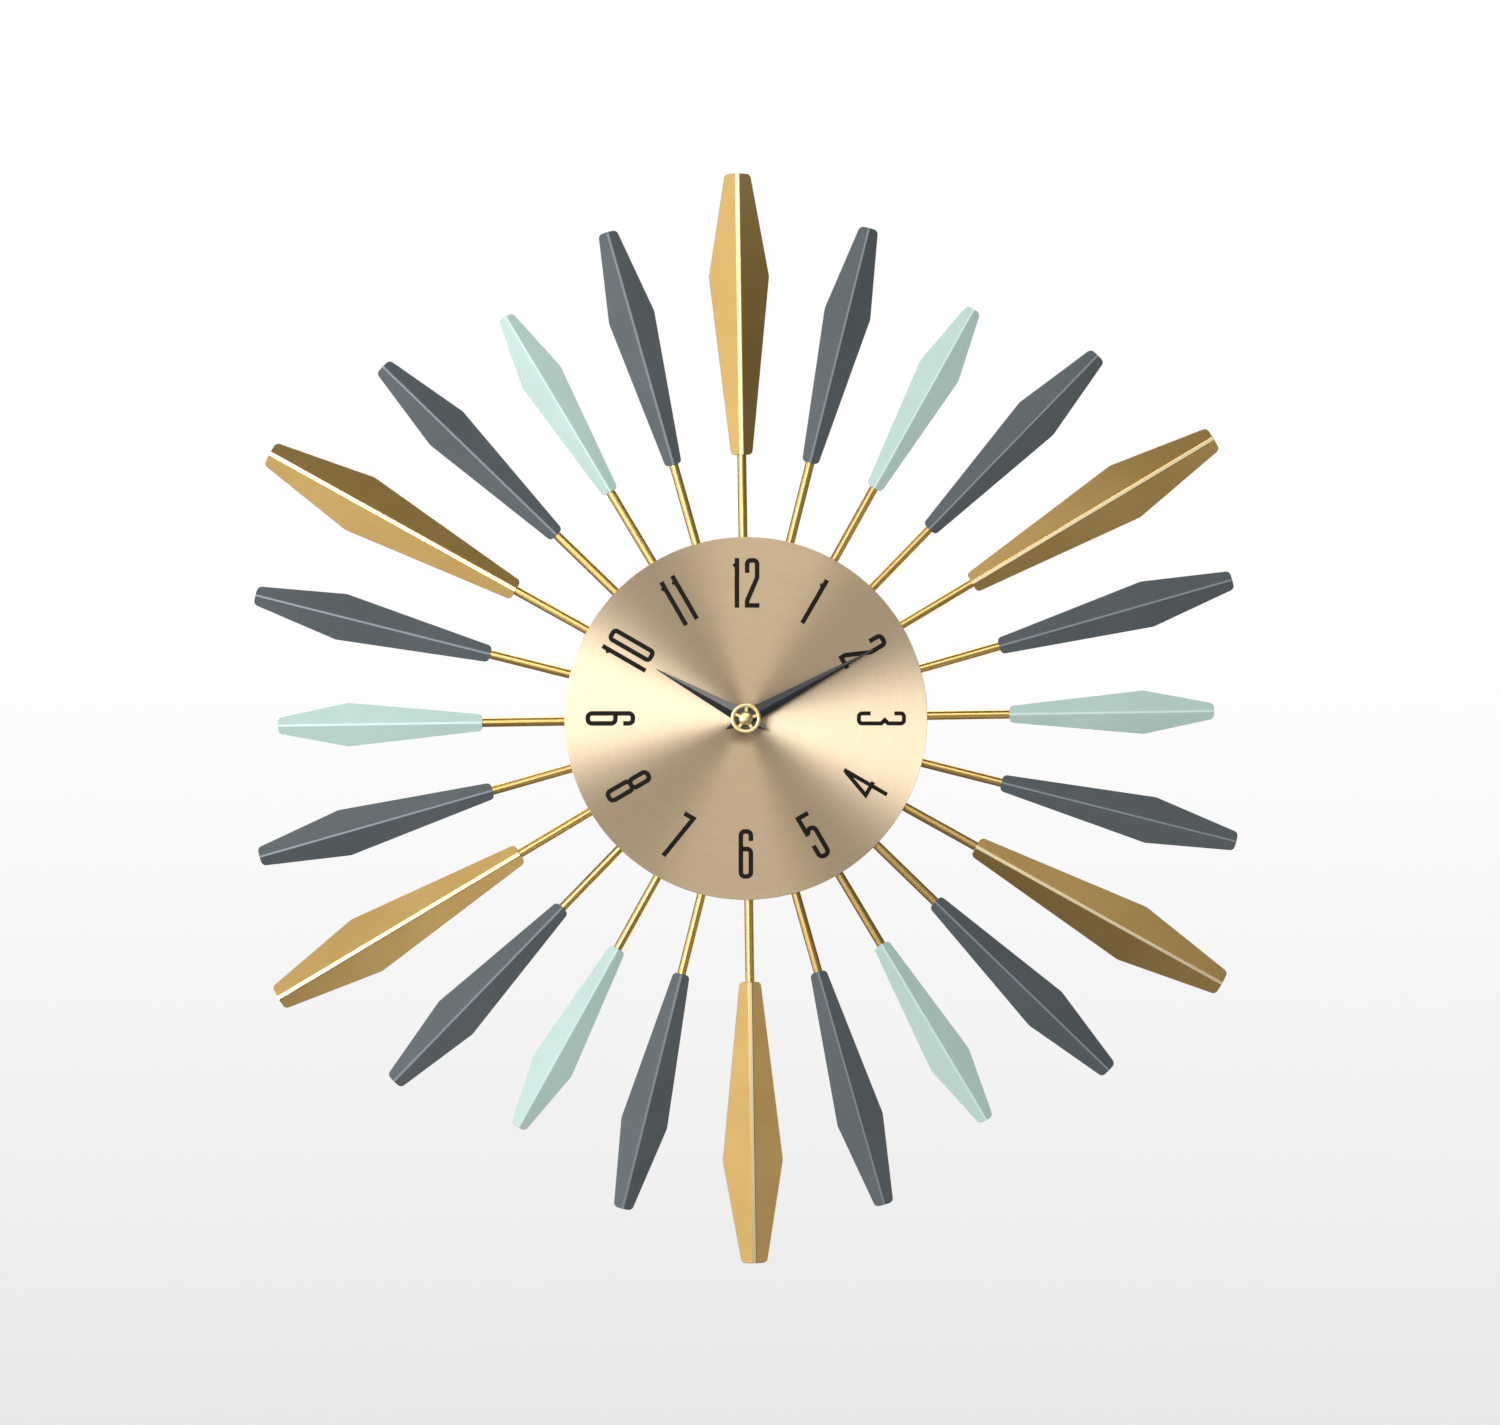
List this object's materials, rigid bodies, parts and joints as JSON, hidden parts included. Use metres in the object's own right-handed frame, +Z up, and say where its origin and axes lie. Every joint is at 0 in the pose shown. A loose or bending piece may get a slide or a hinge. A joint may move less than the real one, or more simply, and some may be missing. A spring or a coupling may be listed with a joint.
{
  "type": "sunburst wall clock",
  "caption": "Wall clock with a round brushed dial, numbered hours and two hands, ringed by folded lozenge blades on rods, driven by a battery quartz movement.",
  "frame": {"origin": "centre of the movement's flat back, on the hand axis, in the plane of the wall", "axes": "+X to 3 o'clock, +Y into the wall, +Z up to 12 o'clock; the dial faces -Y"},
  "size_m": [0.5506, 0.0325, 0.61],
  "materials": {
    "gold_paint": "satin metallic gold paint on folded steel sheet",
    "slate_paint": "satin slate-grey paint on folded steel sheet",
    "mint_paint": "satin pale mint paint on folded steel sheet",
    "rod_gold": "glossy gold plated and lacquered steel rod",
    "dial_gold": "champagne-gold anodised sheet, brushed in circles",
    "hand_black": "satin black lacquer",
    "polished_brass": "polished",
    "brass": "turned",
    "zinc_steel": "zinc plated",
    "motor_steel": "stamped lamination",
    "magnet": "sintered magnet with a moulded pinion",
    "rubber": "matte",
    "case_plastic": "fine moulded texture",
    "gear_plastic": "moulded",
    "knob_plastic": "moulded, ridged",
    "board_green": "solder mask on laminate",
    "epoxy": "cast drop",
    "copper_wire": "enamelled wire",
    "battery_can": "plain printed sleeve on a steel can"
  },
  "bodies": {
    "clock_body": {"gold_blade_12": "gold_paint", "slate_blade_12_30": "slate_paint", "mint_blade_1": "mint_paint", "slate_blade_1_30": "slate_paint", "gold_blade_2": "gold_paint", "slate_blade_2_30": "slate_paint", "mint_blade_3": "mint_paint", "slate_blade_3_30": "slate_paint", "gold_blade_4": "gold_paint", "slate_blade_4_30": "slate_paint", "mint_blade_5": "mint_paint", "slate_blade_5_30": "slate_paint", "gold_blade_6": "gold_paint", "slate_blade_6_30": "slate_paint", "mint_blade_7": "mint_paint", "slate_blade_7_30": "slate_paint", "gold_blade_8": "gold_paint", "slate_blade_8_30": "slate_paint", "mint_blade_9": "mint_paint", "slate_blade_9_30": "slate_paint", "gold_blade_10": "gold_paint", "slate_blade_10_30": "slate_paint", "mint_blade_11": "mint_paint", "slate_blade_11_30": "slate_paint", "spoke_frame": "rod_gold", "dial_plate": "dial_gold", "dial_washer": "brass", "dial_nut": "brass", "rubber_gasket": "rubber", "threaded_bushing": "brass", "movement_case": "case_plastic", "hanger_bracket": "zinc_steel", "stator": "motor_steel", "coil_bobbin": "gear_plastic", "coil_winding": "copper_wire", "coil_core": "motor_steel", "stator_screw_left": "zinc_steel", "stator_screw_right": "zinc_steel", "circuit_board": "board_green", "control_chip": "epoxy", "quartz_crystal": "zinc_steel", "rear_cover": "case_plastic", "middle_plate": "gear_plastic", "aa_battery": "battery_can", "battery_contact_positive": "zinc_steel", "battery_contact_negative": "zinc_steel"},
    "minute_hand_body": {"minute_hand": "hand_black", "hand_nut": "polished_brass", "cannon_tube": "brass", "clutch_spring": "zinc_steel"},
    "hour_hand_body": {"hour_hand": "hand_black", "hour_wheel": "gear_plastic"},
    "setting_knob_body": {"minute_wheel": "gear_plastic", "setting_knob": "knob_plastic"},
    "rotor_body": {"rotor": "magnet"},
    "step_wheel_body": {"step_wheel": "gear_plastic"},
    "seconds_wheel_body": {"seconds_wheel": "gear_plastic"},
    "third_wheel_body": {"third_wheel": "gear_plastic"},
    "centre_wheel_body": {"centre_wheel": "gear_plastic"}
  },
  "joints": [
    {"name": "minute_hand_turn", "type": "hinge", "parent": "clock_body", "child": "minute_hand_body", "pos_m": [0, -0.01, 0], "axis": [0, 1, 0], "continuous": true},
    {"name": "hour_hand_turn", "type": "hinge", "parent": "clock_body", "child": "hour_hand_body", "pos_m": [0, -0.01, 0], "axis": [0, 1, 0], "continuous": true},
    {"name": "setting_knob_turn", "type": "hinge", "parent": "clock_body", "child": "setting_knob_body", "pos_m": [-0.0115, -0.01, 0], "axis": [0, 1, 0], "continuous": true},
    {"name": "rotor_turn", "type": "hinge", "parent": "clock_body", "child": "rotor_body", "pos_m": [-0.01123, -0.01, 0.01371], "axis": [0, 1, 0], "continuous": true},
    {"name": "step_wheel_turn", "type": "hinge", "parent": "clock_body", "child": "step_wheel_body", "pos_m": [-0.0048, -0.01, 0.00831], "axis": [0, 1, 0], "continuous": true},
    {"name": "seconds_wheel_turn", "type": "hinge", "parent": "clock_body", "child": "seconds_wheel_body", "pos_m": [0, -0.01, 0], "axis": [0, 1, 0], "continuous": true},
    {"name": "third_wheel_turn", "type": "hinge", "parent": "clock_body", "child": "third_wheel_body", "pos_m": [0.00997, -0.01, 0.00465], "axis": [0, 1, 0], "continuous": true},
    {"name": "centre_wheel_turn", "type": "hinge", "parent": "clock_body", "child": "centre_wheel_body", "pos_m": [0, -0.01, 0], "axis": [0, 1, 0], "continuous": true}
  ],
  "couplings": [
    {"joint": "hour_hand_turn", "follows": "minute_hand_turn", "ratio": 0.083333},
    {"joint": "setting_knob_turn", "follows": "minute_hand_turn", "ratio": -0.33333},
    {"joint": "step_wheel_turn", "follows": "rotor_turn", "ratio": -0.16667},
    {"joint": "seconds_wheel_turn", "follows": "rotor_turn", "ratio": 0.033333},
    {"joint": "third_wheel_turn", "follows": "rotor_turn", "ratio": -0.0044444},
    {"joint": "centre_wheel_turn", "follows": "rotor_turn", "ratio": 0.00055556}
  ]
}
